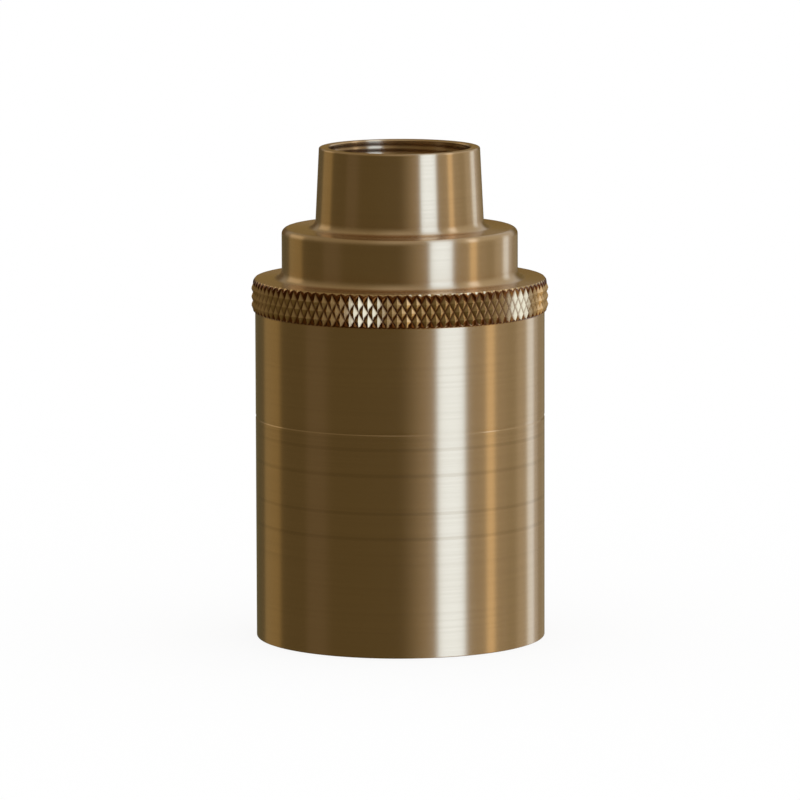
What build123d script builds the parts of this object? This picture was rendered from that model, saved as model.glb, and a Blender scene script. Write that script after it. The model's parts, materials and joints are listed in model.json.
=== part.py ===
"""Brass E27 lamp holder, 80 mm tall, for a pendant tube or cord grip.

A turned cap with a knurled band carries a porcelain insert. A sleeve screws into
the cap from below and holds the porcelain ring around the lamp's screw shell.
Millimetres, +Z up, origin at the centre of the bottom rim.
"""
import os
from math import ceil, cos, pi, radians, sin

from build123d import *

# E27 screw shell, rolled from sheet: cylindrical lands between grooves
shell_sheet = 0.4
shell_land_radius = 12.25
shell_groove_radius = 13.35
shell_pitch = 3.63
shell_land_half = 0.55
shell_groove_half = 0.6
shell_lands = 5
shell_lead_in = 0.3
shell_first_land_rise = 1.5
shell_flange_inset = 2.35
shell_outer_radius = shell_groove_radius + shell_sheet
shell_flange_inner_radius = shell_groove_radius - shell_flange_inset

# Walls from the shell outwards: porcelain ring, sleeve, cap, knurl
ring_shell_play = 0.55
ring_wall = 4.3
ring_foot_step = 1.7
ring_radial_play = 0.3
sleeve_wall = 2.9
cap_skirt_wall = 1.35
spigot_running_clearance = 0.05
lip_width = 4.7
knurl_rise = 0.6
ring_bore_radius = shell_outer_radius + ring_shell_play
ring_tube_radius = ring_bore_radius + ring_wall
ring_foot_radius = ring_tube_radius + ring_foot_step
sleeve_bore_radius = ring_foot_radius + ring_radial_play
barrel_radius = sleeve_bore_radius + sleeve_wall
cap_bore_radius = barrel_radius - cap_skirt_wall
spigot_radius = cap_bore_radius - spigot_running_clearance
lip_radius = barrel_radius - lip_width
knurl_tip_radius = barrel_radius + knurl_rise

# Heights, from the neck's rim down to the joint between cap and sleeve
overall_height = 80.0
neck_length = 13.1
step_rise = 8.2
knurl_band_height = 5.5
upper_barrel_length = 17.1
spigot_length = 6.5
lip_thickness = 2.0
step_height = overall_height - neck_length
disc_height = step_height - step_rise
knurl_bottom = disc_height - knurl_band_height
joint_height = knurl_bottom - upper_barrel_length
spigot_top = joint_height + spigot_length

# Neck and step
neck_thread_radius = 11.46
neck_thread_major_radius = 12.0
neck_thread_depth = 11.0
neck_passage_radius = 10.5
neck_rim_wall = 1.05
neck_taper = 0.65
neck_fillet = 1.0
rim_round = 0.4
disc_width = 4.35
step_round = 1.0
step_fillet = 1.0
neck_top_radius = neck_thread_major_radius + neck_rim_wall
neck_base_radius = neck_top_radius + neck_taper
neck_thread_bottom = overall_height - neck_thread_depth
step_radius = barrel_radius - disc_width

# Edges of the barrel
edge_break = 0.25
spigot_chamfer = 0.5

# Knurled band: diamonds left standing between two families of crossing grooves
knurl_count = 96
knurl_depth = 0.5
knurl_row_height = 2.6
knurl_turn = -1.1
knurl_top_chamfer_radial = 0.6
knurl_top_chamfer_axial = 0.8
knurl_bottom_chamfer_axial = 0.3
knurl_core_depth = 1.0
knurl_root_radius = knurl_tip_radius - knurl_depth
knurl_core_radius = knurl_root_radius - knurl_core_depth

# Inside of the cap
shoulder_width = 2.95
disc_thickness = 2.2
step_wall = 2.25
step_roof = 3.2
cavity_radius = cap_bore_radius - shoulder_width
cavity_top = disc_height - disc_thickness
upper_cavity_radius = step_radius - step_wall
upper_cavity_top = step_height - step_roof

# Spring ring that keeps the insert in the cap
clip_gap_to_spigot = 1.4
clip_thickness = 1.0
clip_groove_depth = 0.6
clip_axial_play = 0.05
clip_radial_play = 0.05
clip_reach = 1.95
clip_lug_radius = 1.5
clip_lug_inset = 0.9
clip_lug_hole_radius = 0.7
clip_gap_angle = 34.0
clip_lug_turn = 5.0
clip_bottom = spigot_top + clip_gap_to_spigot
clip_groove_radius = cap_bore_radius + clip_groove_depth
clip_outer_radius = clip_groove_radius - clip_radial_play
clip_inner_radius = cap_bore_radius - clip_reach
clip_lug_circle_radius = clip_inner_radius - clip_lug_inset

# Porcelain insert: a cup with a flange, held up against the cap's shoulder
washer_thickness = 0.5
washer_inset = 0.5
flange_thickness = 2.5
flange_radial_play = 0.35
cup_rim_wall = 2.95
cup_wall = 2.5
cup_depth = 14.5
floor_thickness = 4.0
cup_rim_drop = 1.7
shell_recess_play = 0.3
flange_bottom = clip_bottom + clip_thickness
flange_top = flange_bottom + flange_thickness
shoulder_height = flange_top + washer_thickness
flange_radius = cap_bore_radius - flange_radial_play
floor_top = flange_top - cup_depth
floor_bottom = floor_top - floor_thickness
cup_bottom = floor_bottom - cup_rim_drop
shell_recess_radius = shell_outer_radius + shell_recess_play
cup_radius = shell_recess_radius + cup_rim_wall
cup_inner_radius = cup_radius - cup_wall
washer_inner_radius = cup_inner_radius + washer_inset

# Pin that keeps the insert from turning in the cap
pin_radius = 0.8
pin_seat_depth = 2.6
pin_below_flange_top = 2.1
pin_slot_play = 0.25
pin_slot_half_width = pin_radius + pin_slot_play
pin_circle_radius = (cavity_radius + cap_bore_radius) / 2

# Porcelain ring that stands on the sleeve's lip around the shell
ring_gap_to_cup = 0.3
ring_foot_height = 5.0
ring_mouth_step = 0.4
ring_mouth_height = 2.6
ring_mouth_chamfer = 0.8
shell_gap_to_mouth = 0.3
ring_mouth_radius = ring_bore_radius - ring_mouth_step
ring_top = cup_bottom - ring_gap_to_cup
shell_bottom = lip_thickness + ring_mouth_height + shell_gap_to_mouth
shell_first_land = shell_bottom + shell_first_land_rise
shell_top = floor_bottom

# Rivets through the porcelain floor
rivet_inset = 1.2
rivet_shank_radius = 0.8
rivet_head_radius = 1.15
rivet_head_height = 0.7
rivet_hole_play = 0.05
rivet_circle_radius = shell_groove_radius - rivet_inset

# M3 terminal screws and their clamping plates
screw_radius = 1.45
screw_running_clearance = 0.05
screw_head_radius = 2.7
screw_head_height = 2.0
screw_length = 5.0
screw_slot_width = 0.8
screw_slot_depth = 1.0
plate_thickness = 1.0
plate_hole_play = 0.25
ear_thickness = 0.6
ear_length = 1.8
ear_play = 0.1
ear_inset = 1.0
screw_hole_radius = screw_radius + screw_running_clearance

# Terminals
block_length = 5.6
block_width = 6.4
block_height = 6.0
block_floor = 0.8
block_gap = 0.65
line_block_inset = 0.7
foot_thickness = 1.2
foot_overhang = 0.6
foot_width = 4.0
earth_inset = 3.1
earth_nose = 3.6
earth_end_play = 0.6
earth_plate_thickness = 1.2
earth_plate_width = 8.0
earth_collar_radius = 2.6
earth_collar_height = 2.0
earth_boss_radius = 3.9
earth_play = 0.1
earth_tip_play = 1.0
earth_hole_play = 0.4
block_to_rivet = rivet_head_radius + block_gap + block_length / 2
line_block_x = line_block_inset + block_length / 2 - cup_inner_radius
strip_rivet_x = line_block_x + block_to_rivet
neutral_block_x = rivet_circle_radius - block_to_rivet
block_top = floor_top + block_height
foot_top = floor_top + foot_thickness
earth_y = cup_inner_radius - earth_inset
earth_plate_start = earth_y - earth_nose
earth_plate_end = flange_radius - earth_end_play
earth_plate_bottom = shoulder_height - earth_plate_thickness
earth_collar_bottom = earth_plate_bottom - earth_collar_height

# Centre contact: a sprung strip with a button riveted to its free end
strip_thickness = 0.4
strip_width = 5.0
strip_drop = 2.7
strip_root_half = 1.8
strip_pad_start = -1.8
strip_pad_end = 2.4
strip_bend_offset = 0.15
button_radius = 2.2
button_height = 1.0
button_shank_radius = 0.8
button_upset_radius = 1.2
button_upset_height = 0.4
strip_root_start = strip_rivet_x - strip_root_half
strip_root_end = strip_rivet_x + strip_root_half
strip_pad_bottom = floor_bottom - strip_drop
strip_pad_top = strip_pad_bottom + strip_thickness


def turned(points, rounds=()):
    """A solid of revolution about Z from (radius, height) points.

    rounds lists (radius, height, fillet) for the corners to be rounded.
    """
    outline = make_face(Polyline(*points, close=True))
    for radius, height, fillet_radius in rounds:
        corner = min(
            outline.vertices(),
            key=lambda v: (v.X - radius) ** 2 + (v.Y - height) ** 2,
        )
        outline = fillet(corner, fillet_radius)
    return revolve(Plane.XZ * outline, Axis.Z)


def rod(radius, bottom, top, x=0.0, y=0.0):
    """An upright cylinder between two heights."""
    return Pos(x, y, bottom) * Cylinder(
        radius, top - bottom, align=(Align.CENTER, Align.CENTER, Align.MIN)
    )


def slab(x0, x1, y0, y1, bottom, top):
    """An upright box between stated faces."""
    return Pos((x0 + x1) / 2, (y0 + y1) / 2, bottom) * Box(
        x1 - x0,
        y1 - y0,
        top - bottom,
        align=(Align.CENTER, Align.CENTER, Align.MIN),
    )


def faceted_prism(levels):
    """A closed solid with two flat sides per knurl pitch.

    levels lists, from the bottom up, a height and a function that gives the
    radius at each place around. Places lie half a knurl pitch apart. Each cell
    between four corners is split on the diagonal that lies deeper.
    """
    places = 2 * knurl_count

    def ring(height, radius_at):
        front = radians(knurl_turn - 90)
        angles = [front + place * pi / knurl_count for place in range(places)]
        return [
            Vector(radius_at(i) * cos(angle), radius_at(i) * sin(angle), height)
            for i, angle in enumerate(angles)
        ]

    rings = [ring(*level) for level in levels]
    faces = [Face(Wire.make_polygon(rings[i], close=True)) for i in (0, -1)]
    for (_, lower_at), lower, (_, upper_at), upper in zip(
        levels, rings, levels[1:], rings[1:]
    ):
        for i in range(places):
            j = (i + 1) % places
            corners = lower[i], lower[j], upper[j], upper[i]
            if lower_at(i) + upper_at(j) > lower_at(j) + upper_at(i):
                cell = (corners[:2] + corners[3:], corners[1:])
            elif lower_at(i) + upper_at(j) < lower_at(j) + upper_at(i):
                cell = (corners[:3], corners[2:] + corners[:1])
            else:
                cell = (corners,)
            faces += [Face(Wire.make_polygon(c, close=True)) for c in cell]
    return Solid(Shell(faces))


def knurl_level(index):
    """Radius at each place: peaks and groove crossings in turn."""
    return lambda place: (
        knurl_tip_radius if (place + index) % 2 == 0 else knurl_root_radius
    )


def make_knurled_band():
    """The diamond lattice, cut to the band and its two chamfers."""
    start = knurl_bottom - knurl_row_height / 2
    rows = 2 * ceil((disc_height - start) / knurl_row_height)
    lattice = faceted_prism(
        [(start + i * knurl_row_height / 2, knurl_level(i)) for i in range(rows + 1)]
    )
    outline = [
        (knurl_bottom, barrel_radius),
        (knurl_bottom + knurl_bottom_chamfer_axial, knurl_tip_radius),
        (disc_height - knurl_top_chamfer_axial, knurl_tip_radius),
        (disc_height, knurl_tip_radius - knurl_top_chamfer_radial),
    ]
    envelope = faceted_prism([(height, lambda _, r=radius: r) for height, radius in outline])
    core = rod(knurl_core_radius - knurl_core_depth, knurl_bottom, disc_height)
    return (envelope & lattice) - core


def make_cap():
    """Neck, step, disc, knurled band and upper barrel, turned from one bar."""
    body = turned(
        [
            (0, joint_height),
            (barrel_radius - edge_break, joint_height),
            (barrel_radius, joint_height + edge_break),
            (barrel_radius, knurl_bottom),
            (knurl_core_radius, knurl_bottom),
            (knurl_core_radius, disc_height),
            (step_radius, disc_height),
            (step_radius, step_height),
            (neck_base_radius, step_height),
            (neck_top_radius, overall_height),
            (0, overall_height),
        ],
        [
            (step_radius, disc_height, step_fillet),
            (step_radius, step_height, step_round),
            (neck_base_radius, step_height, neck_fillet),
            (neck_top_radius, overall_height, rim_round),
        ],
    )
    mouth_chamfer = neck_thread_major_radius - neck_thread_radius
    hollow = turned(
        [
            (0, joint_height),
            (cap_bore_radius + edge_break, joint_height),
            (cap_bore_radius, joint_height + edge_break),
            (cap_bore_radius, shoulder_height),
            (cavity_radius, shoulder_height),
            (cavity_radius, cavity_top),
            (upper_cavity_radius, cavity_top),
            (upper_cavity_radius, upper_cavity_top),
            (neck_passage_radius, upper_cavity_top),
            (neck_passage_radius, neck_thread_bottom),
            (neck_thread_radius, neck_thread_bottom),
            (neck_thread_radius, overall_height - mouth_chamfer),
            (neck_thread_major_radius, overall_height),
            (0, overall_height),
        ]
    )
    groove = rod(
        clip_groove_radius, clip_bottom - clip_axial_play, flange_bottom + clip_axial_play
    )
    pin_seat = rod(
        pin_radius, shoulder_height, shoulder_height + pin_seat_depth, 0, -pin_circle_radius
    )
    return body + make_knurled_band() - hollow - groove - pin_seat


def make_sleeve():
    """Lower barrel with its lip and the spigot that screws into the cap."""
    return turned(
        [
            (lip_radius + edge_break, 0),
            (barrel_radius - edge_break, 0),
            (barrel_radius, edge_break),
            (barrel_radius, joint_height - edge_break),
            (barrel_radius - edge_break, joint_height),
            (spigot_radius, joint_height),
            (spigot_radius, spigot_top - spigot_chamfer),
            (spigot_radius - spigot_chamfer, spigot_top),
            (sleeve_bore_radius, spigot_top),
            (sleeve_bore_radius, lip_thickness),
            (lip_radius, lip_thickness),
            (lip_radius, edge_break),
        ]
    )


def make_porcelain_ring():
    """Ring between sleeve and shell, with a foot and a chamfered mouth."""
    mouth_top = lip_thickness + ring_mouth_height
    return turned(
        [
            (ring_mouth_radius + ring_mouth_chamfer, lip_thickness),
            (ring_foot_radius, lip_thickness),
            (ring_foot_radius, lip_thickness + ring_foot_height),
            (ring_tube_radius, lip_thickness + ring_foot_height),
            (ring_tube_radius, ring_top),
            (ring_bore_radius, ring_top),
            (ring_bore_radius, mouth_top),
            (ring_mouth_radius, mouth_top),
            (ring_mouth_radius, lip_thickness + ring_mouth_chamfer),
        ]
    )


def rivet_places():
    """Centres of the three rivets that hold the shell, first one at +X."""
    return [
        (
            rivet_circle_radius * cos(radians(angle)),
            rivet_circle_radius * sin(radians(angle)),
        )
        for angle in (0, 120, 240)
    ]


def make_pin_slot():
    """Slot for the locating pin, from the rim of the flange and the washer."""
    return slab(
        -pin_slot_half_width,
        pin_slot_half_width,
        -flange_radius - 1,
        pin_slot_half_width - pin_circle_radius,
        flange_bottom,
        shoulder_height,
    )


def make_insert():
    """Porcelain cup with its flange, terminal pocket and earth boss."""
    cup = turned(
        [
            (0, floor_bottom),
            (shell_recess_radius, floor_bottom),
            (shell_recess_radius, cup_bottom),
            (cup_radius, cup_bottom),
            (cup_radius, flange_bottom),
            (flange_radius, flange_bottom),
            (flange_radius, flange_top),
            (cup_inner_radius, flange_top),
            (cup_inner_radius, floor_top),
            (0, floor_top),
        ]
    )
    boss = rod(earth_boss_radius, floor_top, earth_plate_bottom, 0, earth_y)
    half_plate = earth_plate_width / 2 + earth_play
    recess = slab(
        -half_plate, half_plate, 0, flange_radius + 1, earth_plate_bottom, flange_top + 1
    )
    seat = earth_collar_bottom - earth_play
    tip = shoulder_height + plate_thickness - screw_length - earth_tip_play
    cup = cup + boss - recess
    cup -= rod(earth_collar_radius + earth_play, seat, earth_plate_bottom, 0, earth_y)
    cup -= rod(screw_hole_radius + earth_hole_play, tip, seat, 0, earth_y)
    hole_radius = rivet_shank_radius + rivet_hole_play
    for x, y in rivet_places() + [(strip_rivet_x, 0)]:
        cup -= rod(hole_radius, floor_bottom - 1, floor_top + 1, x, y)
    return cup - make_pin_slot()


def make_washer():
    """Fibre washer between flange and shoulder, open at the earth plate."""
    ring = rod(flange_radius, flange_top, shoulder_height)
    ring -= rod(washer_inner_radius, flange_top, shoulder_height)
    half_plate = earth_plate_width / 2 + earth_play
    ring -= slab(-half_plate, half_plate, 0, flange_radius + 1, flange_top, shoulder_height)
    return ring - make_pin_slot()


def make_clip():
    """Spring ring with a gap and two lugs for the pliers."""
    bottom = clip_bottom
    ring = rod(clip_outer_radius, bottom, flange_bottom)
    ring -= rod(clip_inner_radius, bottom, flange_bottom)
    gap_half_width = clip_outer_radius * sin(radians(clip_gap_angle / 2))
    for side in (-1, 1):
        lug = rod(clip_lug_radius, bottom, flange_bottom, clip_lug_circle_radius, 0)
        lug += slab(
            clip_lug_circle_radius,
            (clip_inner_radius + clip_outer_radius) / 2,
            -clip_lug_radius,
            clip_lug_radius,
            bottom,
            flange_bottom,
        )
        lug -= rod(clip_lug_hole_radius, bottom, flange_bottom, clip_lug_circle_radius, 0)
        ring += Rot(0, 0, side * (clip_gap_angle / 2 + clip_lug_turn)) * lug
    return ring - slab(
        clip_lug_circle_radius - clip_lug_radius,
        clip_outer_radius + 1,
        -gap_half_width,
        gap_half_width,
        bottom,
        flange_bottom,
    )


def make_shell():
    """Nickel-plated screw shell with a flange turned in under the floor."""
    inner = [(shell_groove_radius, shell_bottom)]
    for index in range(shell_lands):
        land = shell_first_land + index * shell_pitch
        to_groove = shell_pitch / 2 - shell_groove_half
        start = land - to_groove if index else shell_bottom + shell_lead_in
        inner += [
            (shell_groove_radius, start),
            (shell_land_radius, land - shell_land_half),
            (shell_land_radius, land + shell_land_half),
            (shell_groove_radius, land + to_groove),
        ]
    inner += [(shell_groove_radius, shell_top - shell_sheet)]
    outer = [(radius + shell_sheet, height) for radius, height in inner[:-1]]
    outer += [(shell_groove_radius + shell_sheet, shell_top)]
    flange = [
        (shell_flange_inner_radius, shell_top),
        (shell_flange_inner_radius, shell_top - shell_sheet),
    ]
    shell = turned(outer + flange + inner[::-1])
    for x, y in rivet_places():
        hole_radius = rivet_shank_radius + rivet_hole_play
        shell -= rod(hole_radius, shell_top - 1, shell_top + 1, x, y)
    return shell


def make_rivet(x, y, lower, upper):
    """Rivet whose two heads clamp everything between two heights."""
    rivet = rod(rivet_shank_radius, lower - rivet_head_height, upper + rivet_head_height, x, y)
    rivet += rod(rivet_head_radius, lower - rivet_head_height, lower, x, y)
    return rivet + rod(rivet_head_radius, upper, upper + rivet_head_height, x, y)


def make_strip():
    """Bent spring strip from its riveted root down to the pad at the centre."""
    root_low = floor_bottom - strip_thickness
    outline = make_face(
        Polyline(
            (strip_root_start, floor_bottom),
            (strip_root_end + strip_bend_offset, floor_bottom),
            (strip_pad_start + strip_bend_offset, strip_pad_top),
            (strip_pad_end, strip_pad_top),
            (strip_pad_end, strip_pad_bottom),
            (strip_pad_start - strip_bend_offset, strip_pad_bottom),
            (strip_root_end - strip_bend_offset, root_low),
            (strip_root_start, root_low),
            close=True,
        )
    )
    strip = extrude(Plane.XZ * outline, strip_width / 2, both=True)
    low = strip_pad_bottom - 1
    strip -= rod(rivet_shank_radius + rivet_hole_play, low, floor_bottom + 1, strip_rivet_x, 0)
    return strip - rod(button_shank_radius + rivet_hole_play, low, strip_pad_top + 1)


def make_button():
    """Domed contact button, riveted through the strip's pad."""
    low = strip_pad_bottom - button_height
    top = strip_pad_top + button_upset_height
    return turned(
        [
            (0, low),
            (button_radius * 0.55, low + 0.12),
            (button_radius * 0.88, low + 0.45),
            (button_radius, strip_pad_bottom),
            (button_shank_radius, strip_pad_bottom),
            (button_shank_radius, strip_pad_top),
            (button_upset_radius, strip_pad_top),
            (button_upset_radius, top),
            (0, top),
        ]
    )


def make_line_terminal():
    """Brass block with a foot that the centre contact's rivet holds down."""
    block_end = line_block_x + block_length / 2
    block = slab(
        line_block_x - block_length / 2,
        block_end,
        -block_width / 2,
        block_width / 2,
        floor_top,
        block_top,
    )
    foot_end = strip_rivet_x + rivet_head_radius + foot_overhang
    foot = slab(
        block_end,
        foot_end,
        -foot_width / 2,
        foot_width / 2,
        floor_top,
        foot_top,
    )
    return finish_terminal(block + foot, line_block_x, strip_rivet_x)


def make_neutral_terminal():
    """Brass block with a foot that one of the shell's rivets holds down."""
    block_end = neutral_block_x + block_length / 2
    block = slab(
        neutral_block_x - block_length / 2,
        block_end,
        -block_width / 2,
        block_width / 2,
        floor_top,
        block_top,
    )
    foot = slab(
        block_end,
        rivet_circle_radius + rivet_head_radius + foot_overhang,
        -foot_width / 2,
        foot_width / 2,
        floor_top,
        foot_top,
    )
    return finish_terminal(block + foot, neutral_block_x, rivet_circle_radius)


def finish_terminal(blank, screw_x, rivet_x):
    """Bore the tapped hole of the block and the rivet hole of the foot."""
    blank -= rod(screw_hole_radius, floor_top + block_floor, block_top + 1, screw_x, 0)
    hole_radius = rivet_shank_radius + rivet_hole_play
    return blank - rod(hole_radius, floor_top - 1, foot_top, rivet_x, 0)


def make_earth_terminal():
    """Plate clamped between flange and shoulder, with a tapped collar."""
    half = earth_plate_width / 2
    plate = slab(
        -half, half, earth_plate_start, earth_plate_end, earth_plate_bottom, shoulder_height
    )
    plate += rod(earth_collar_radius, earth_collar_bottom, earth_plate_bottom, 0, earth_y)
    return plate - rod(
        screw_hole_radius, earth_collar_bottom - 1, shoulder_height + 1, 0, earth_y
    )


def make_clamp_plate(x, y, seat, gripped_width):
    """Clamping plate whose two ears straddle the piece it is screwed to."""
    half_y = gripped_width / 2 + ear_play + ear_thickness
    half_x = block_length / 2
    plate = slab(x - half_x, x + half_x, y - half_y, y + half_y, seat, seat + plate_thickness)
    for side in (-1, 1):
        edges = sorted((y + side * half_y, y + side * (half_y - ear_thickness)))
        plate += slab(
            x - half_x + ear_inset,
            x + half_x - ear_inset,
            edges[0],
            edges[1],
            seat - ear_length,
            seat,
        )
    return plate - rod(
        screw_radius + plate_hole_play, seat - 1, seat + plate_thickness + 1, x, y
    )


def make_earth_clamp_plate():
    """Clamping plate of the earth screw, turned to straddle its plate."""
    plate = make_clamp_plate(0, 0, shoulder_height, earth_plate_width)
    return Pos(0, earth_y, 0) * Rot(0, 0, 90) * plate


def make_screw(x, y, seat, slot_angle):
    """Cheese-head terminal screw, its head on a plate at the given height."""
    head_top = seat + screw_head_height
    screw = rod(screw_head_radius, seat, head_top, x, y)
    screw += rod(screw_radius, seat - screw_length, seat, x, y)
    slot = Box(
        3 * screw_head_radius,
        screw_slot_width,
        screw_slot_depth,
        align=(Align.CENTER, Align.CENTER, Align.MAX),
    )
    return screw - Pos(x, y, head_top) * Rot(0, 0, slot_angle) * slot


def make_pin():
    """Locating pin, half in the cap's shoulder and half in the flange's slot."""
    return rod(
        pin_radius,
        flange_top - pin_below_flange_top,
        shoulder_height + pin_seat_depth,
        0,
        -pin_circle_radius,
    )


def make_all():
    """Every piece by name."""
    shell_seat = shell_top - shell_sheet
    strip_seat = floor_bottom - strip_thickness
    rivets = rivet_places()
    return {
        "cap": make_cap(),
        "lower_sleeve": make_sleeve(),
        "porcelain_ring": make_porcelain_ring(),
        "porcelain_insert": make_insert(),
        "fibre_washer": make_washer(),
        "retaining_clip": make_clip(),
        "locating_pin": make_pin(),
        "screw_shell": make_shell(),
        "shell_rivet_neutral": make_rivet(*rivets[0], shell_seat, foot_top),
        "shell_rivet_left": make_rivet(*rivets[1], shell_seat, floor_top),
        "shell_rivet_right": make_rivet(*rivets[2], shell_seat, floor_top),
        "contact_strip": make_strip(),
        "contact_button": make_button(),
        "contact_rivet": make_rivet(strip_rivet_x, 0, strip_seat, foot_top),
        "line_terminal": make_line_terminal(),
        "neutral_terminal": make_neutral_terminal(),
        "earth_terminal": make_earth_terminal(),
        "line_clamp_plate": make_clamp_plate(line_block_x, 0, block_top, block_width),
        "neutral_clamp_plate": make_clamp_plate(neutral_block_x, 0, block_top, block_width),
        "earth_clamp_plate": make_earth_clamp_plate(),
        "line_screw": make_screw(line_block_x, 0, block_top + plate_thickness, 20),
        "neutral_screw": make_screw(neutral_block_x, 0, block_top + plate_thickness, 75),
        "earth_screw": make_screw(0, earth_y, shoulder_height + plate_thickness, 50),
    }


os.makedirs("parts", exist_ok=True)
for name, solid in make_all().items():
    export_step(solid, f"parts/{name}.step")
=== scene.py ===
"""Turned brass lamp holder: dressed pieces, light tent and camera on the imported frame.

Lengths in this file are millimetres unless a name ends in _m, and the angles
that it states are degrees. Every mesh is made in metres, in the frame of the
solids: Z up the holder's axis, origin at the centre of the bottom rim, the
camera on the -Y side.
"""
import json
import logging
from dataclasses import dataclass, replace
from enum import Enum
from math import cos, pi, radians, sin, tan

import bpy
import numpy as np
from mathutils import Matrix, Vector


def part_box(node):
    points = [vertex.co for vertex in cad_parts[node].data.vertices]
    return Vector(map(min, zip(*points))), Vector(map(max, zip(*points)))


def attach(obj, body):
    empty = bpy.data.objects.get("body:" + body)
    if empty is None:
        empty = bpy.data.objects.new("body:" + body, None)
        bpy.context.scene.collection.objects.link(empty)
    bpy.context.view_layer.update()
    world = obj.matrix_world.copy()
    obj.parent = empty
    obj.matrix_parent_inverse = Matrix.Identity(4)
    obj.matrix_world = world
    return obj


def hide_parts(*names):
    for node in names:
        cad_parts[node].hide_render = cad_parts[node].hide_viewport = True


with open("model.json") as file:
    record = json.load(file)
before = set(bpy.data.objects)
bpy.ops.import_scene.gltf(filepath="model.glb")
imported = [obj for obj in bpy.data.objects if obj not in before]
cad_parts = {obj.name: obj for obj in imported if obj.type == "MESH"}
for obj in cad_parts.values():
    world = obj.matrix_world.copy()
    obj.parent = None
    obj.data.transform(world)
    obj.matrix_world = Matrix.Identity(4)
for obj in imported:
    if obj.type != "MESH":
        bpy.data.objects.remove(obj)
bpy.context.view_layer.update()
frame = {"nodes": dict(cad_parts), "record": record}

LOG = logging.getLogger("lamp_holder")
MM = 0.001
# Points that are the same to this many millimetres become one
MERGE_STEP = 1e-4
# Faces that meet at a larger angle keep a sharp edge between them
EDGE_ANGLE = 40.0
# Steps round the axis, a multiple of twice the knurl's 96 diamonds
COLUMNS = 384
# How far above level the eye stands, for the camera and for the tent's paint
EYE_RISE = 7.855


class Trace(Enum):
    """Values that a mesh carries at its points, by the attribute's name."""

    TURNING = "turning"
    GROOVE = "groove"
    TONE = "tone"


class Skin(Enum):
    """How a stretch of a profile is finished, as its material's number."""

    TURNED = 0
    KNURLED = 1


class Side(Enum):
    """Which side of a wall a thread is cut into, as a sign on its depth."""

    OUTER = -1.0
    INNER = 1.0


def extent(node: str) -> tuple[float, float, float]:
    """Sizes of a turned solid, to a hundredth, from the frame's box of its node.

    Args:
        node: The node's name.

    Returns:
        Its outer radius, its lowest level and its highest level.
    """
    low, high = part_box(node)
    return round(high[0] / MM, 2), round(low[2] / MM, 2), round(high[2] / MM, 2)


_, JOINT, TOP = extent("cap")
BARREL, _, SPIGOT_TOP = extent("lower_sleeve")


def linear(hex_colour: str) -> tuple[float, float, float, float]:
    """Linear RGBA of an sRGB hex colour such as "#C9A576".

    Args:
        hex_colour: The colour, with its leading #.

    Returns:
        Red, green, blue and an alpha of 1.
    """
    channels = np.array([int(hex_colour[i : i + 2], 16) / 255 for i in (1, 3, 5)])
    toe = channels / 12.92
    curve = ((channels + 0.055) / 1.055) ** 2.4
    return (*(float(c) for c in np.where(channels <= 0.04045, toe, curve)), 1.0)


def smooth(values: np.ndarray) -> np.ndarray:
    """Eases 0 to 1 with no kink at either end: 3t squared less 2t cubed."""
    held = np.clip(values, 0.0, 1.0)
    return held * held * (3 - 2 * held)


# Profiles and grids


@dataclass(frozen=True)
class Corner:
    """One corner of a turned profile, with the radius of its rounding."""

    radius: float
    height: float
    rounding: float = 0.0


def drawn(corners: list[Corner], steps: int = 8, ease: float = 0.05) -> np.ndarray:
    """Points along a closed profile, with an arc at every rounded corner.

    The arc touches both sides at the rounding over the tangent of half the
    corner's angle. Its points swing evenly from one touching point to the
    other about the centre, and one more point just outside each of them keeps
    the flat beside it flat.

    Args:
        corners: The profile, counter-clockwise with the radius to the right.
        steps: Segments in each arc.
        ease: Distance from an arc's end to the point that steadies the flat.

    Returns:
        Rows of radius and height, the first one repeated at the end.
    """
    points = np.array([(c.radius, c.height) for c in corners])
    rows = []
    for i, corner in enumerate(corners):
        here = points[i]
        if corner.rounding == 0:
            rows.append(here[None, :])
            continue
        back = points[i - 1] - here
        ahead = points[(i + 1) % len(points)] - here
        back /= np.linalg.norm(back)
        ahead /= np.linalg.norm(ahead)
        half = np.arccos(np.clip(back @ ahead, -1, 1)) / 2
        reach = corner.rounding / tan(half)
        middle = (back + ahead) / np.linalg.norm(back + ahead)
        centre = here + middle * corner.rounding / sin(half)
        first, last = here + back * reach - centre, here + ahead * reach - centre
        swing = pi - 2 * half
        share = np.linspace(0, 1, steps + 1)[:, None]
        arc = (np.sin((1 - share) * swing) * first + np.sin(share * swing) * last) / sin(swing)
        rows.append(here[None, :] + back * (reach + ease))
        rows.append(centre + arc)
        rows.append(here[None, :] + ahead * (reach + ease))
    line = np.concatenate(rows)
    return np.concatenate([line, line[:1]])


def revolved(line: np.ndarray, turn: float = 0.0) -> np.ndarray:
    """Carries a profile once round Z, starting at the camera's side.

    A point at radius r and bearing b stands at r cos b, r sin b. The last
    column repeats the first one's bearing exactly, so that the seam closes.

    Args:
        line: (columns + 1, points, 3) radius, height and share of a groove.
        turn: Degrees from the camera's side to the first column.

    Returns:
        (columns + 1, points, 5): x, y, z, the distance along the profile and
        the share of a groove.
    """
    bearing = np.linspace(0, 2 * pi, len(line)) - pi / 2 + radians(turn)
    bearing[-1] = bearing[0]
    radius, height, groove = line[..., 0], line[..., 1], line[..., 2]
    strides = np.linalg.norm(np.diff(line[..., :2], axis=1), axis=2)
    along = np.concatenate([np.zeros((len(line), 1)), np.cumsum(strides, axis=1)], axis=1)
    x, y = radius * np.cos(bearing)[:, None], radius * np.sin(bearing)[:, None]
    return np.stack([x, y, height, along, groove], axis=-1)


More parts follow.
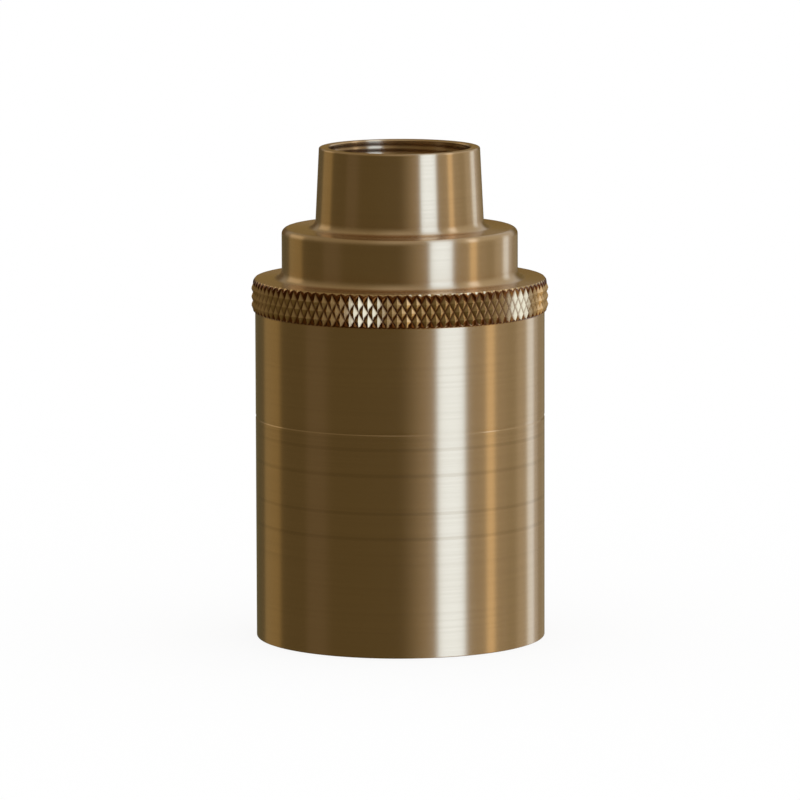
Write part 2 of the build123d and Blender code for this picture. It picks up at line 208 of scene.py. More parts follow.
@dataclass(frozen=True)
class Thread:
    """A right-handed thread cut into a wall between two heights."""

    side: Side
    radius: float
    depth: float
    pitch: float
    bottom: float
    top: float
    steps: int = 6

    def rows(self, columns: int) -> np.ndarray:
        """Rows that climb with the helix and are held between the two ends.

        At the share t of a turn, turn k of the thread lies at the height
        bottom + pitch (k + phase - 1 + t). The depth follows half of one less
        the cosine of the phase, rounded as a worn thread is, and runs out to
        nothing over half a pitch at each end.

        Args:
            columns: Steps round the axis.

        Returns:
            (columns + 1, rows, 2): radius and height, from the bottom up.
        """
        share = np.linspace(0, 1, columns + 1)[:, None]
        turns = np.arange(int(np.ceil((self.top - self.bottom) / self.pitch)) + 2)
        phase = np.arange(self.steps) / self.steps
        cut = np.tile((1 - np.cos(2 * pi * phase)) / 2, len(turns))[None, :]
        steps = (turns[:, None] + phase[None, :]).reshape(1, -1)
        height = np.clip(self.bottom + self.pitch * (steps - 1 + share), self.bottom, self.top)
        to_end = np.minimum(height - self.bottom, self.top - height)
        depth = self.depth * cut * smooth(to_end / (0.5 * self.pitch))
        return np.stack([self.radius + self.side.value * depth, height], axis=-1)


def joined(columns: int, *parts: np.ndarray) -> np.ndarray:
    """Strings profile stretches together, spreading the fixed ones all round.

    Args:
        columns: Steps round the axis.
        parts: Stretches, (points, 2 or 3) or (columns + 1, points, 2 or 3),
            where the third number is the share of a groove and is otherwise 0.

    Returns:
        (columns + 1, points, 3), closed by its first point.
    """
    whole = [np.pad(p, [(0, 0)] * (p.ndim - 1) + [(0, 3 - p.shape[-1])]) for p in parts]
    spread = [np.broadcast_to(p, (columns + 1, *p.shape[-2:])) for p in whole]
    line = np.concatenate(spread, axis=1)
    return np.concatenate([line, line[:, :1]], axis=1)


def welded(
    grid: np.ndarray, finish: np.ndarray | int
) -> tuple[np.ndarray, np.ndarray, np.ndarray, np.ndarray]:
    """Cuts a grid of points into faces and makes points in the same place one.

    Each cell of the grid is a quad. A quad that loses a corner to the welding
    becomes a triangle, and one that loses more is left out.

    Args:
        grid: (around, along, 5): x, y, z, turning distance, share of a groove.
        finish: The Skin value of each stretch along the profile, or of all.

    Returns:
        The points, five numbers each; the faces' corners, one face after
        another; each face's number of corners; and each face's Skin value.
    """
    index = np.arange(grid.shape[0] * grid.shape[1]).reshape(grid.shape[:2])
    cells = (index[:-1, :-1], index[1:, :-1], index[1:, 1:], index[:-1, 1:])
    faces = np.stack(cells, axis=-1).reshape(-1, 4)
    finish = np.broadcast_to(finish, cells[0].shape).reshape(-1)
    cloud = grid.reshape(-1, 5)
    places = np.round(cloud[:, :3] / MERGE_STEP).astype(np.int64)
    _, first, merged = np.unique(places, axis=0, return_index=True, return_inverse=True)
    faces = merged.reshape(-1)[faces]
    kept = faces != np.roll(faces, -1, axis=1)
    sides = kept.sum(axis=1)
    whole = sides >= 3
    return cloud[first], faces[kept & whole[:, None]], sides[whole], finish[whole]


def skin(
    name: str, grid: np.ndarray, finish: np.ndarray | int = Skin.TURNED.value
) -> bpy.types.Object:
    """Makes one mesh object from a grid of points.

    Args:
        name: The object's name.
        grid: (around, along, 5): x, y, z, turning distance, share of a groove.
        finish: The Skin value of each stretch along the profile, or of all.

    Returns:
        The object, in metres, at the origin.
    """
    cloud, corners, sides, finish = welded(grid, finish)
    mesh = bpy.data.meshes.new(name)
    mesh.vertices.add(len(cloud))
    mesh.vertices.foreach_set("co", (cloud[:, :3] * MM).astype(np.float32).ravel())
    mesh.loops.add(len(corners))
    mesh.loops.foreach_set("vertex_index", corners.astype(np.int32))
    mesh.polygons.add(len(sides))
    starts = np.concatenate([[0], np.cumsum(sides)[:-1]]).astype(np.int32)
    mesh.polygons.foreach_set("loop_start", starts)
    mesh.update(calc_edges=True)
    mesh.shade_smooth()
    mesh.set_sharp_from_angle(angle=radians(EDGE_ANGLE))
    mesh.polygons.foreach_set("material_index", finish.astype(np.int32))
    mesh.polygons.foreach_set("use_smooth", finish != Skin.KNURLED.value)
    for trace, values in ((Trace.TURNING, cloud[:, 3] * MM), (Trace.GROOVE, cloud[:, 4])):
        layer = mesh.attributes.new(trace.value, "FLOAT", "POINT")
        layer.data.foreach_set("value", values.astype(np.float32))
    mesh.validate()
    obj = bpy.data.objects.new(name, mesh)
    bpy.context.scene.collection.objects.link(obj)
    return obj


# Finishes


def add(
    tree: bpy.types.NodeTree,
    kind: str,
    inputs: dict[str | int, object] | None = None,
    **settings: object,
) -> bpy.types.Node:
    """Adds one node with its settings, values and links.

    Args:
        tree: The material's or world's node tree.
        kind: The node's type name.
        inputs: A value or another node's output for each input named or numbered.
        settings: Properties of the node itself.

    Returns:
        The node.
    """
    node = tree.nodes.new(kind)
    for key, value in settings.items():
        setattr(node, key, value)
    for key, value in (inputs or {}).items():
        if isinstance(value, bpy.types.NodeSocket):
            tree.links.new(value, node.inputs[key])
        else:
            node.inputs[key].default_value = value
    return node


def wear(obj: bpy.types.Object, *materials: bpy.types.Material) -> None:
    """Gives a piece these materials and nothing else.

    Args:
        obj: The piece, whose faces keep their material's number if it has none yet.
        materials: The materials, in the order of their numbers.
    """
    if obj.data.materials:
        obj.data.materials.clear()
    for material in materials:
        obj.data.materials.append(material)


@dataclass(frozen=True)
class Finish:
    """What all finishes share: a name, and a shader joined to an output."""

    name: str

    def shader(self, tree: bpy.types.NodeTree) -> bpy.types.Node:
        """Adds this finish's own nodes, of which the last is its shader."""
        raise NotImplementedError(self.name)

    def build(self) -> bpy.types.Material:
        """Makes the finish's material.

        Returns:
            The material.
        """
        material = bpy.data.materials.new(self.name)
        material.use_nodes = True
        tree = material.node_tree
        tree.nodes.clear()
        add(tree, "ShaderNodeOutputMaterial", {0: self.shader(tree).outputs[0]})
        return material


@dataclass(frozen=True)
class TurnedMetal(Finish):
    """Metal cut on a lathe and left satin, seen under a thin clear lacquer.

    The last fine cut leaves hairlines round the axis, too shallow to break a
    reflection and just enough to soften it along the axis. Where the tool
    paused, a thin darker ring runs all the way round. Hairlines are drawn
    three times as coarse as they are, so that they show at all.

    Attributes:
        spread: How far the gloss is drawn out along the axis, up to 1.
        hairline_reach: The way round over which a hairline keeps its strength.
        hairline_from: Noise at which a hairline starts to show.
        hairline_to: Noise at which it shows in full.
        hairline_share: The groove's colour that a full hairline takes on.
        rings: Height and share of the groove's colour of each ring.
    """

    colour: str
    groove_colour: str
    roughness: float = 0.25
    spread: float = 0.9
    hairline_pitch: float = 0.3
    hairline_reach: float = 40.0
    hairline_from: float = 0.4
    hairline_to: float = 0.75
    hairline_share: float = 0.1
    relief: float = 0.015
    relief_height: float = 0.05
    rings: tuple[tuple[float, float], ...] = ()
    ring_half_width: float = 0.28

    def shader(self, tree: bpy.types.NodeTree) -> bpy.types.Node:
        """Hairlines along the turning distance, then the rings.

        A ring adds its share to the tint wherever the height is within half
        its width of its own.

        Args:
            tree: The material's node tree.

        Returns:
            The shader node.
        """
        place = add(tree, "ShaderNodeTexCoord")
        split = add(tree, "ShaderNodeSeparateXYZ", {0: place.outputs["Object"]})
        line = add(tree, "ShaderNodeAttribute", attribute_name=Trace.TURNING.value)
        coarse, fine = 1 / (self.hairline_reach * MM), 1 / (self.hairline_pitch * MM)
        across, deep = (
            add(tree, "ShaderNodeMath", {0: split.outputs[axis], 1: coarse}, operation="MULTIPLY")
            for axis in ("X", "Y")
        )
        along = add(
            tree, "ShaderNodeMath", {0: line.outputs["Fac"], 1: fine}, operation="MULTIPLY"
        )
        where = add(
            tree,
            "ShaderNodeCombineXYZ",
            {0: across.outputs[0], 1: deep.outputs[0], 2: along.outputs[0]},
        )
        hairlines = add(
            tree,
            "ShaderNodeTexNoise",
            {"Vector": where.outputs[0], "Scale": 1.0, "Detail": 3.0, "Roughness": 0.6},
        )
        mark = add(
            tree,
            "ShaderNodeMapRange",
            {
                "Value": hairlines.outputs["Fac"],
                1: self.hairline_from,
                2: self.hairline_to,
                3: 0.0,
                4: self.hairline_share,
            },
        )
        for height, share in self.rings:
            near = add(
                tree,
                "ShaderNodeMath",
                {0: split.outputs["Z"], 1: height * MM, 2: self.ring_half_width * MM},
                operation="COMPARE",
            )
            mark = add(
                tree,
                "ShaderNodeMath",
                {0: near.outputs[0], 1: share, 2: mark.outputs[0]},
                operation="MULTIPLY_ADD",
                use_clamp=True,
            )
        tint = add(
            tree,
            "ShaderNodeMix",
            {0: mark.outputs[0], 6: linear(self.colour), 7: linear(self.groove_colour)},
            data_type="RGBA",
        )
        bump = add(
            tree,
            "ShaderNodeBump",
            {
                "Strength": self.relief,
                "Distance": self.relief_height * MM,
                "Height": hairlines.outputs["Fac"],
            },
        )
        # The tangent runs round the axis, and a quarter turn lays the gloss along it
        grain = add(tree, "ShaderNodeTangent", direction_type="RADIAL", axis="Z")
        return add(
            tree,
            "ShaderNodeBsdfPrincipled",
            {
                "Base Color": tint.outputs[2],
                "Metallic": 1.0,
                "Roughness": self.roughness,
                "Anisotropic": self.spread,
                "Anisotropic Rotation": 0.25,
                "Tangent": grain.outputs[0],
                "Normal": bump.outputs[0],
            },
        )


@dataclass(frozen=True)
class KnurledMetal(Finish):
    """Metal pressed by knurling wheels: burnished flanks and painted shade in the grooves.

    The wheels leave the flanks of each diamond bright and flat. A dark brown
    painted shade in the grooves stands in for the shade and darkened
    interreflection there, and draws a brown line round each diamond. Where the
    band's ends cut a diamond off, it takes the painted shade in full and stays dark.

    Attributes:
        shade_from: Share of a groove at which the painted shade starts.
        shade_to: Share at which it covers everything.
    """

    colour: str
    groove_shade_colour: str
    roughness: float = 0.17
    shade_from: float = 0.5
    shade_to: float = 1.22

    def shader(self, tree: bpy.types.NodeTree) -> bpy.types.Node:
        """Painted shade that grows with the share of a groove.

        A groove's share of 1 takes on most of the painted shade, and the 2 of a
        diamond that is cut off takes on all of it.

        Args:
            tree: The material's node tree.

        Returns:
            The shader node.
        """
        groove = add(tree, "ShaderNodeAttribute", attribute_name=Trace.GROOVE.value)
        # Painted shade: the grooves and the cut-off diamonds are darkened towards a brown
        groove_shade = add(
            tree,
            "ShaderNodeMapRange",
            {"Value": groove.outputs["Fac"], 1: self.shade_from, 2: self.shade_to, 3: 0.0, 4: 1.0},
            interpolation_type="SMOOTHSTEP",
        )
        tint = add(
            tree,
            "ShaderNodeMix",
            {0: groove_shade.outputs[0], 6: linear(self.colour), 7: linear(self.groove_shade_colour)},
            data_type="RGBA",
        )
        return add(
            tree,
            "ShaderNodeBsdfPrincipled",
            {"Base Color": tint.outputs[2], "Metallic": 1.0, "Roughness": self.roughness},
        )


@dataclass(frozen=True)
class SheetMetal(Finish):
    """Sheet or bar metal, plated or bare, with faint cloudy variation.

    Plating and rolling leave an even, fairly bright skin: soft reflections,
    slightly duller in patches, with no grain that the eye can follow. Its grit
    is drawn coarser than it is, so that it shows close up.

    Attributes:
        patch: Size of the cloudy patches.
        smoother: Roughness that the brightest patches lose.
        duller: Roughness that the dullest patches gain.
    """

    colour: str
    dull_colour: str
    roughness: float
    patch: float = 3.0
    cloud_from: float = 0.3
    cloud_to: float = 0.7
    smoother: float = 0.05
    duller: float = 0.08
    grit: float = 0.15
    relief: float = 0.1
    relief_height: float = 0.02

    def shader(self, tree: bpy.types.NodeTree) -> bpy.types.Node:
        """One cloud for tint and roughness, and a finer one for relief.

        Args:
            tree: The material's node tree.

        Returns:
            The shader node.
        """
        place = add(tree, "ShaderNodeTexCoord")
        cloud = add(
            tree,
            "ShaderNodeTexNoise",
            {"Vector": place.outputs["Object"], "Scale": 1 / (self.patch * MM), "Detail": 4.0},
        )
        grit = add(
            tree,
            "ShaderNodeTexNoise",
            {"Vector": place.outputs["Object"], "Scale": 1 / (self.grit * MM), "Detail": 2.0},
        )
        tint = add(
            tree,
            "ShaderNodeMix",
            {0: cloud.outputs["Fac"], 6: linear(self.colour), 7: linear(self.dull_colour)},
            data_type="RGBA",
        )
        rough = add(
            tree,
            "ShaderNodeMapRange",
            {
                "Value": cloud.outputs["Fac"],
                1: self.cloud_from,
                2: self.cloud_to,
                3: self.roughness - self.smoother,
                4: self.roughness + self.duller,
            },
        )
        bump = add(
            tree,
            "ShaderNodeBump",
            {
                "Strength": self.relief,
                "Distance": self.relief_height * MM,
                "Height": grit.outputs["Fac"],
            },
        )
        return add(
            tree,
            "ShaderNodeBsdfPrincipled",
            {
                "Base Color": tint.outputs[2],
                "Metallic": 1.0,
                "Roughness": rough.outputs[0],
                "Normal": bump.outputs[0],
            },
        )


@dataclass(frozen=True)
class Mineral(Finish):
    """Fired or pressed insulating material with specks in its body.

    The mould or the press leaves a slow waviness in a matt skin.

    Attributes:
        glaze: Weight of the clear glaze on top.
        speck_share: Noise above which a speck shows.
    """

    colour: str
    speck_colour: str
    roughness: float
    glaze: float
    speck: float = 0.5
    speck_share: float = 0.72
    speck_edge: float = 0.04
    wave: float = 4.0
    relief: float = 0.15
    relief_height: float = 0.1
    glaze_roughness: float = 0.12

    def shader(self, tree: bpy.types.NodeTree) -> bpy.types.Node:
        """Specks as tint, and waviness as relief under the glaze.

        Args:
            tree: The material's node tree.

        Returns:
            The shader node.
        """
        place = add(tree, "ShaderNodeTexCoord")
        specks = add(
            tree,
            "ShaderNodeTexNoise",
            {"Vector": place.outputs["Object"], "Scale": 1 / (self.speck * MM), "Detail": 2.0},
        )
        waves = add(
            tree,
            "ShaderNodeTexNoise",
            {"Vector": place.outputs["Object"], "Scale": 1 / (self.wave * MM), "Detail": 3.0},
        )
        mask = add(
            tree,
            "ShaderNodeMapRange",
            {
                "Value": specks.outputs["Fac"],
                1: self.speck_share - self.speck_edge,
                2: self.speck_share + self.speck_edge,
                3: 0.0,
                4: 1.0,
            },
        )
        tint = add(
            tree,
            "ShaderNodeMix",
            {0: mask.outputs[0], 6: linear(self.colour), 7: linear(self.speck_colour)},
            data_type="RGBA",
        )
        bump = add(
            tree,
            "ShaderNodeBump",
            {
                "Strength": self.relief,
                "Distance": self.relief_height * MM,
                "Height": waves.outputs["Fac"],
            },
        )
        return add(
            tree,
            "ShaderNodeBsdfPrincipled",
            {
                "Base Color": tint.outputs[2],
                "Roughness": self.roughness,
                "Coat Weight": self.glaze,
                "Coat Roughness": self.glaze_roughness,
                "Normal": bump.outputs[0],
            },
        )


# Free-cutting brass, turned and lacquered: warm olive gold with satin streaks of light
BRASS = TurnedMetal("satin_turned_lacquered_brass", "#C9A576", "#8A6A3E")
RINGED_BRASS = replace(
    BRASS,
    name="ringed_turned_lacquered_brass",
    # Where the tool paused on the lower barrel
    rings=(
        (35.2, 0.06),
        (33.7, 0.14),
        (29.5, 0.16),
        (23.4, 0.18),
        (19.3, 0.18),
        (15.2, 0.05),
    ),
)
# Knurled brass; its second colour is painted shade, darkest in the grooves
KNURLED_BRASS = KnurledMetal("knurled_lacquered_brass", "#CAA46F", "#6A3A12")
SLOT_FINISHES: dict[str, Finish] = {
    "brass": BRASS,
    # Machined and left bare: yellower, cloudy where it was handled
    "terminal_brass": SheetMetal("machined_free_cutting_brass", "#D2AF6C", "#B98F4E", 0.3),
    # Bright plating: a pale, slightly warm mirror that the sheet under it softens
    "nickel": SheetMetal("bright_nickel_plate_on_brass", "#CFC9BC", "#B5AEA0", 0.24),
    # Cold rolled: a reddish satin
    "bronze": SheetMetal("rolled_phosphor_bronze_strip", "#CB9264", "#A87249", 0.32),
    # Plated in a barrel: cool grey with small dull patches
    "zinc": SheetMetal("clear_zinc_plated_steel", "#C4C7CA", "#A7ABB0", 0.35, patch=1.2),
    # Blackened in oil: dark grey with a low sheen
    "steel": SheetMetal("oil_blackened_spring_steel", "#5C5B59", "#3E3D3C", 0.38),
    # Fired under a thin glaze: creamy white with a few iron specks
    "porcelain": Mineral("glazed_electrical_porcelain", "#EFEBE0", "#8C7B66", 0.35, 0.6),
    # Pressed from treated paper: dull red-brown, finely mottled
    "fibre": Mineral("red_vulcanised_fibre", "#7E3325", "#5A2219", 0.75, 0.0, 0.3, 0.6),
}


# The holder's own pieces


@dataclass(frozen=True)
class KnurledBand:
    """Diamond knurl: pyramids left between two families of crossing grooves.

    Attributes:
        row: Height of a diamond.
        lowest: Level of the lowest tips.
        turn: Bearing of the first tip from the camera's side.
        cut_allowance: How much of a diamond's end may go before it is cut off.
        cut_off_depth: Share of a groove's depth at which a cut-off diamond ends.
        groove_line: Share from which a point lies on a groove's own line.
        crown_drop: How far the crown narrows, in two chamfers.
        edge_height: Height of the upper one, at 45 degrees.
        unshaded_edge: Height of the disc's own edge, which gets no painted shade.
        level_steps: Levels at which the lattice is compared with the chamfers.
    """

    count: int = 96
    tip: float = 24.1
    depth: float = 0.53
    row: float = 2.72
    lowest: float = 53.02
    turn: float = -1.1
    bottom: float = 53.2
    top: float = 58.7
    cut_allowance: float = 0.4
    cut_off_depth: float = 0.45
    groove_line: float = 0.999
    foot_radius: float = BARREL
    foot_height: float = 0.6
    crown_drop: float = 0.6
    crown_height: float = 1.5
    edge_height: float = 0.25
    unshaded_edge: float = 0.1
    level_steps: int = 5501

    def lattice(self, place: np.ndarray, level: np.ndarray) -> np.ndarray:
        """Depth of the uncut lattice as a share, 0 on a tip and 1 in a groove.

        Tips stand where place and level are both whole and their sum is even.
        With s and t half the sum and half the difference, the share is twice
        the larger distance of s or t from its nearest whole.

        Args:
            place: Half pitches round from the first tip.
            level: Half rows up.

        Returns:
            The shares.
        """
        s, t = (place + level) / 2, (place - level) / 2
        return 2 * np.maximum(np.abs(s - np.round(s)), np.abs(t - np.round(t)))

    def cut_off(self, place: np.ndarray, level: np.ndarray) -> np.ndarray:
        """Whether a point lies within a diamond that the band's ends cut off.

        Its tip's level is the nearest whole s less the nearest whole t, with
        s and t as in lattice. The grooves themselves are within no diamond.

        Args:
            place: Half pitches round from the first tip.
            level: Half rows up.

        Returns:
            True or False for each point.
        """
        tip = np.round((place + level) / 2) - np.round((place - level) / 2)
        height = self.lowest + (tip - 1) * self.row / 2
        reach = self.row / 2 - self.cut_allowance
        ends = (height - reach < self.bottom) | (height + reach > self.top)
        return ends & (self.lattice(place, level) < self.groove_line)

    def envelope(self, height: np.ndarray) -> np.ndarray:
        """Radius of the foot's chamfer, the band and the crown's two chamfers.

        Args:
            height: Levels on the band.

        Returns:
            The largest radius at each of them.
        """
        knots = [
            (self.bottom, self.foot_radius),
            (self.bottom + self.foot_height, self.tip),
            (self.top - self.crown_height, self.tip),
            (self.top - self.edge_height, self.tip - self.crown_drop + self.edge_height),
            (self.top, self.tip - self.crown_drop),
        ]
        return np.interp(height, *np.transpose(knots))

    def rows(self, columns: int) -> np.ndarray:
        """The band's wall, with a row of points on every crease.

        In each level the groove crosses a column at the share f of the way up,
        or 1 - f, as place plus level is odd or even. The lowest and highest
        rows lie where the lattice leaves the chamfers.

        Args:
            columns: Steps round the axis, a multiple of twice the count.

        Returns:
            (columns + 1, rows, 3): radius, height and the depth below the tips
            as a share of a groove's, or 2 in a diamond that is cut off; the third
            number sets the painted shade in the grooves.
        """
        half_row = self.row / 2
        start = self.lowest - half_row
        place = np.arange(columns + 1) * 2 * self.count / columns
        whole, share = np.floor(place), place % 1
        levels = np.arange(1, 1 + int(np.ceil((self.top - self.bottom) / half_row)))
        rising = ((whole[:, None] + levels[None, :]) % 2) == 1
        crossing = np.where(rising, share[:, None], 1 - share[:, None]) + levels
        whole_rows = np.broadcast_to(levels, crossing.shape)
        rows = np.stack([whole_rows, crossing], axis=-1).reshape(columns + 1, -1)
        fine = np.linspace(self.bottom, self.top, self.level_steps)
        free = self.lattice(place[:, None], (fine - start)[None, :] / half_row)
        free = self.tip - self.depth * free <= self.envelope(fine)[None, :]
        low = fine[np.argmax(free, axis=1)][:, None]
        high = fine[len(fine) - 1 - np.argmax(free[:, ::-1], axis=1)][:, None]
        height = np.concatenate([low, np.clip(start + half_row * rows, low, high), high], axis=1)
        level = (height - start) / half_row
        groove = self.lattice(place[:, None], level)
        cut_off = self.cut_off(place[:, None], level)
        groove = np.where(cut_off, np.maximum(groove, self.cut_off_depth), groove)
        radius = np.minimum(self.tip - self.depth * groove, self.envelope(height))
        share = np.clip((self.tip - radius) / self.depth, 0, 1)
        # The share sets the painted groove shade: all of it in a cut-off diamond, none on the
        # disc's edge
        share = np.where(cut_off, 2, share) * (height < self.top - self.unshaded_edge)
        return np.stack([radius, height, share], axis=-1)


@dataclass(frozen=True)
class Cap:
    """Neck, step, disc, knurled band and upper barrel, turned from one bar.

    Attributes:
        edge_relief: How far the barrel is eased back at the joint.
        relief_height: Height over which it is eased.
        flat_start: Wall just above that, whose points steady its shading.
        shoulder: Level of the shoulder that the insert is held against.
        passage: Radius of the cable's way under the neck's thread.
    """

    barrel: float = BARREL
    joint: float = JOINT
    edge_relief: float = 0.08
    relief_height: float = 0.5
    flat_start: float = 0.1
    step_radius: float = 19.15
    step: float = 66.9
    neck_foot: float = 13.7
    neck_mouth: float = 13.05
    top: float = TOP
    rim_round: float = 0.3
    corner_round: float = 1.0
    foot_round: float = 1.4
    mouth_radius: float = 11.66
    mouth_round: float = 0.08
    bore: float = 22.15
    shoulder: float = 48.0
    cavity: float = 19.2
    cavity_top: float = 56.5
    upper_cavity: float = 16.9
    upper_cavity_top: float = 63.7
    cavity_round: float = 0.3
    passage: float = 10.5
    groove_bottom: float = 43.95
    groove_top: float = 45.05
    groove_radius: float = 22.75
    columns: int = COLUMNS
    band: KnurledBand = KnurledBand()
    neck_thread: Thread = Thread(Side.INNER, 11.46, 0.06, 1.0, bottom=69.0, top=79.8, steps=8)
    bore_thread: Thread = Thread(Side.INNER, bore, 0.4, 1.5, bottom=36.5, top=43.0)

    def below(self) -> np.ndarray:
        """The upper barrel, from the joint to the band's foot.

        Returns:
            Rows of radius and height.
        """
        return drawn(
            [
                Corner(self.bore + self.edge_relief, self.joint),
                Corner(self.barrel - self.edge_relief, self.joint),
                Corner(self.barrel, self.joint + self.relief_height),
                Corner(self.barrel, self.joint + self.relief_height + self.flat_start),
                Corner(self.barrel, self.band.bottom),
            ]
        )[:-1]

    def above(self) -> np.ndarray:
        """Disc, step and neck, from the band's crown to the neck's thread.

        Returns:
            Rows of radius and height.
        """
        return drawn(
            [
                Corner(self.band.tip - self.band.crown_drop, self.band.top),
                Corner(self.step_radius, self.band.top, self.foot_round),
                Corner(self.step_radius, self.step, self.corner_round),
                Corner(self.neck_foot, self.step, self.foot_round),
                Corner(self.neck_mouth, self.top, self.rim_round),
                Corner(self.mouth_radius, self.top, self.mouth_round),
                Corner(self.neck_thread.radius, self.neck_thread.top),
            ]
        )[:-1]

    def inside(self) -> np.ndarray:
        """The hollow below the neck's thread, down to the bore's thread.

        Returns:
            Rows of radius and height.
        """
        return drawn(
            [
                Corner(self.passage, self.neck_thread.bottom),
                Corner(self.passage, self.upper_cavity_top, self.cavity_round),
                Corner(self.upper_cavity, self.upper_cavity_top, self.cavity_round),
                Corner(self.upper_cavity, self.cavity_top),
                Corner(self.cavity, self.cavity_top, self.cavity_round),
                Corner(self.cavity, self.shoulder),
                Corner(self.bore, self.shoulder),
                Corner(self.bore, self.groove_top),
                Corner(self.groove_radius, self.groove_top),
                Corner(self.groove_radius, self.groove_bottom),
                Corner(self.bore, self.groove_bottom),
            ]
        )[:-1]

    def build(self) -> bpy.types.Object:
        """Makes the cap's mesh, riding on the insert's body.

        Returns:
            The piece.
        """
        below, band = self.below(), self.band.rows(self.columns)
        neck = self.neck_thread.rows(self.columns)[:, ::-1]
        bore = self.bore_thread.rows(self.columns)[:, ::-1]
        line = joined(self.columns, below, band, self.above(), neck, self.inside(), bore)
        finish = np.full(line.shape[1] - 1, Skin.TURNED.value)
        finish[len(below) - 1 : len(below) + band.shape[1]] = Skin.KNURLED.value
        obj = skin("cap_turned", revolved(line, self.band.turn), finish)
        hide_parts("cap")
        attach(obj, "holder")
        return obj

    def dress(self, obj: bpy.types.Object, brass: bpy.types.Material) -> None:
        """Puts plain turned brass on the cap, and knurled brass on its band."""
        wear(obj, brass, KNURLED_BRASS.build())


@dataclass(frozen=True)
class Sleeve:
    """Lower barrel with its lip and the threaded spigot that the cap turns on.

    Attributes:
        lip: Radius inside the lip that carries the porcelain ring.
        edge_break: Bevel on the lip's lower edge.
        joint_bevels: How far in and how far below the joint each corner of
            its bevel lies, from the barrel's wall inwards.
        spigot_taper: How far the spigot's top end narrows past its thread.
    """

    barrel: float = BARREL
    joint: float = JOINT
    edge_break: float = 0.25
    rim_round: float = 0.25
    joint_bevels: tuple[tuple[float, float], ...] = ((0.0, 0.19), (0.0, 0.15), (0.085, 0.0))
    bore: float = 20.6
    lip: float = 18.8
    lip_top: float = 2.0
    lip_round: float = 0.4
    spigot_top: float = SPIGOT_TOP
    spigot_taper: float = 0.5
    columns: int = COLUMNS
    thread: Thread = Thread(Side.OUTER, 22.1, 0.4, 1.5, bottom=36.6, top=42.1)

    def build(self) -> bpy.types.Object:
        """Makes the sleeve's mesh, riding on its own body.

        Returns:
            The piece.
        """
        below = drawn(
            [
                Corner(self.lip, self.edge_break),
                Corner(self.lip + self.edge_break, 0),
                Corner(self.barrel, 0, self.rim_round),
                *(Corner(self.barrel - i, self.joint - d) for i, d in self.joint_bevels),
                Corner(self.thread.radius, self.joint),
            ]
        )[:-1]
        above = drawn(
            [
                Corner(self.thread.radius - self.spigot_taper, self.spigot_top),
                Corner(self.bore, self.spigot_top),
                Corner(self.bore, self.lip_top, self.lip_round),
                Corner(self.lip, self.lip_top),
            ]
        )[:-1]
        line = joined(self.columns, below, self.thread.rows(self.columns), above)
        obj = skin("sleeve_turned", revolved(line))
        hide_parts("lower_sleeve")
        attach(obj, "sleeve")
        return obj

    def dress(self, obj: bpy.types.Object) -> None:
        """Puts turned brass with the tool's rings on the sleeve."""
        wear(obj, RINGED_BRASS.build())


@dataclass(frozen=True)
class Fittings:
    """Insert, shell, contact, terminals and fasteners, whose solids stay as they are."""

    materials: dict[str, bpy.types.Material]

    def dress(self) -> None:
        """Gives every solid of the frame the material of its slot in the record."""
        slots = {s["node"]: s["material_slot"] for s in frame["record"]["subparts"]}
        for name, node in frame["nodes"].items():
            wear(node, self.materials[slots[name]])
            LOG.info("%s: %s", name, slots[name])


# Studio


@dataclass(frozen=True)
class GlowingCloth(Finish):
    """Tent cloth and strips, lit from behind: an even glow in the mesh's tones."""

    def shader(self, tree: bpy.types.NodeTree) -> bpy.types.Node:
        """Light in the tone of each point, with no shading of its own."""
        tone = add(tree, "ShaderNodeAttribute", attribute_name=Trace.TONE.value)
        return add(tree, "ShaderNodeEmission", {0: tone.outputs["Color"], 1: 1.0})


@dataclass(frozen=True)
class WhitePaper(Finish):
    """Matt white paper, lit until it is white but for a soft shadow."""

    shadow_share: float = 0.15

    def shader(self, tree: bpy.types.NodeTree) -> bpy.types.Node:
        """A white glow, with the shadow's share of plain paper mixed in.

        Args:
            tree: The material's node tree.

        Returns:
            The shader node.
        """
        paper = add(tree, "ShaderNodeBsdfDiffuse", {0: linear("#FFFFFF")})
        glow = add(tree, "ShaderNodeEmission", {0: linear("#FFFFFF"), 1: 1.0})
        return add(
            tree,
            "ShaderNodeMixShader",
            {0: self.shadow_share, 1: glow.outputs[0], 2: paper.outputs[0]},
        )


@dataclass(frozen=True)
class Panel:
    """One strip or patch of the light tent.

    A panel is placed by the turned wall in which the eye sees its gloss. Start
    and end are twice the bearing that the wall faces, in degrees clockwise
    from the eye and seen from above; for an upright wall that is about the
    panel's own bearing. Low and high are the degrees by which the wall leans
    back, so that 0 is upright and 90 is a flat top. Each edge fades over the
    degrees of its soft value.
    """

    start: float
    end: float
    colour: str
    level: float = 1.0
    soft_start: float = 4.0
    soft_end: float = 4.0
    low: float = -95.0
    high: float = 95.0
    soft_low: float = 1.0
    soft_high: float = 1.0

    def weight(self, facing: np.ndarray, lean: np.ndarray) -> np.ndarray:
        """How much of the panel shows, easing from 0 to 1 across its soft edges.

        Args:
            facing: Twice the wall's bearing, -180 to 180 degrees.
            lean: Degrees by which the wall leans back.

        Returns:
            The weights.
        """
        weight = smooth((facing - self.start) / self.soft_start + 0.5)
        weight = weight * smooth((self.end - facing) / self.soft_end + 0.5)
        weight = weight * smooth((lean - self.low) / self.soft_low + 0.5)
        return weight * smooth((self.high - lean) / self.soft_high + 0.5)


